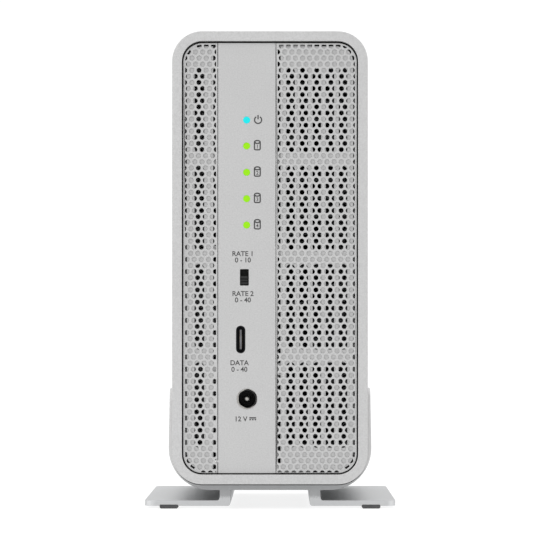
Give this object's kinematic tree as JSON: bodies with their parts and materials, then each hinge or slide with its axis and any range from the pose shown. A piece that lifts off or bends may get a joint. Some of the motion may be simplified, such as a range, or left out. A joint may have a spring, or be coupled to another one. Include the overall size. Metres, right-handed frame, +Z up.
{
  "type": "drive enclosure",
  "caption": "Upright aluminium enclosure for solid-state drives, with perforated front panels, a connector strip and a cradle stand.",
  "frame": {"origin": "on the ground, below the middle of the whole object", "axes": "+Z up, -Y towards the front with its connectors, +X to the right seen from the front"},
  "size_m": [0.0854, 0.13, 0.162],
  "materials": {
    "shell_aluminium": "fine bead-blasted, clear anodised",
    "stand_aluminium": "satin anodised, slightly darker than the sleeve",
    "panel_aluminium": "fine bead-blasted sheet, perforated on the grilles",
    "bracket_aluminium": "plain mill-finish sheet",
    "screw_steel": "nickel-plated steel",
    "thumb_steel": "knurled nickel-plated steel",
    "black_steel": "black-plated steel",
    "black_plastic": "moulded black plastic",
    "grey_plastic": "moulded dark grey plastic with gilt contacts",
    "board_laminate": "solder-masked circuit board",
    "card_laminate": "black solder-masked circuit board",
    "chip_black": "moulded chip package",
    "sink_black": "black anodised extrusion",
    "pad_rubber": "moulded dark grey rubber",
    "light_blue": "lit light pipe, cyan",
    "light_green": "lit light pipe, yellow-green"
  },
  "bodies": {
    "housing": {"housing_shell": "shell_aluminium", "stand_cradle": "stand_aluminium", "foot_pad_front_left": "pad_rubber", "foot_pad_front_right": "pad_rubber", "foot_pad_rear_left": "pad_rubber", "foot_pad_rear_right": "pad_rubber", "stand_screw_1": "screw_steel", "stand_screw_2": "screw_steel", "rear_panel": "panel_aluminium", "rear_panel_screw_1": "black_steel", "rear_panel_screw_2": "black_steel", "rear_panel_screw_3": "black_steel", "rear_panel_screw_4": "black_steel", "fan_frame": "black_plastic", "fan_screw_1": "black_steel", "fan_screw_2": "black_steel", "fan_screw_3": "black_steel", "fan_screw_4": "black_steel"},
    "chassis": {"grille_left": "panel_aluminium", "grille_right": "panel_aluminium", "io_plate": "panel_aluminium", "front_bracket": "bracket_aluminium", "chassis_tray": "bracket_aluminium", "main_board": "board_laminate", "board_screw_1": "screw_steel", "board_screw_2": "screw_steel", "board_screw_3": "screw_steel", "board_screw_4": "screw_steel", "light_pipe_power": "light_blue", "light_pipe_drive_1": "light_green", "light_pipe_drive_2": "light_green", "light_pipe_drive_3": "light_green", "light_pipe_drive_4": "light_green", "switch_body": "black_plastic", "port_shell": "black_steel", "port_tongue": "grey_plastic", "jack_body": "black_plastic", "jack_pin": "screw_steel", "controller_chip": "chip_black", "drive_socket_1": "black_plastic", "drive_card_1": "card_laminate", "drive_sink_1": "sink_black", "drive_screw_1": "screw_steel", "drive_socket_2": "black_plastic", "drive_card_2": "card_laminate", "drive_sink_2": "sink_black", "drive_screw_2": "screw_steel", "drive_socket_3": "black_plastic", "drive_card_3": "card_laminate", "drive_sink_3": "sink_black", "drive_screw_3": "screw_steel", "drive_socket_4": "black_plastic", "drive_card_4": "card_laminate", "drive_sink_4": "sink_black", "drive_screw_4": "screw_steel"},
    "fan": {"fan_rotor": "black_plastic"},
    "switch": {"switch_knob": "black_plastic"},
    "lower_thumb_screw": {"thumb_screw_1": "thumb_steel"},
    "upper_thumb_screw": {"thumb_screw_2": "thumb_steel"}
  },
  "joints": [
    {"name": "chassis_slide", "type": "slide", "parent": "housing", "child": "chassis", "axis": [0, -1, 0], "range_m": [0, 0.115]},
    {"name": "fan_spin", "type": "hinge", "parent": "housing", "child": "fan", "pos_m": [0, 0.0535, 0.096], "axis": [0, 1, 0], "continuous": true},
    {"name": "switch_slide", "type": "slide", "parent": "chassis", "child": "switch", "axis": [0, 0, 1], "range_m": [0, 0.002]},
    {"name": "lower_thumb_turn", "type": "hinge", "parent": "housing", "child": "lower_thumb_screw", "pos_m": [0, 0.0618, 0.0207], "axis": [0, 1, 0], "continuous": true},
    {"name": "upper_thumb_turn", "type": "hinge", "parent": "housing", "child": "upper_thumb_screw", "pos_m": [0, 0.0618, 0.1497], "axis": [0, 1, 0], "continuous": true}
  ]
}
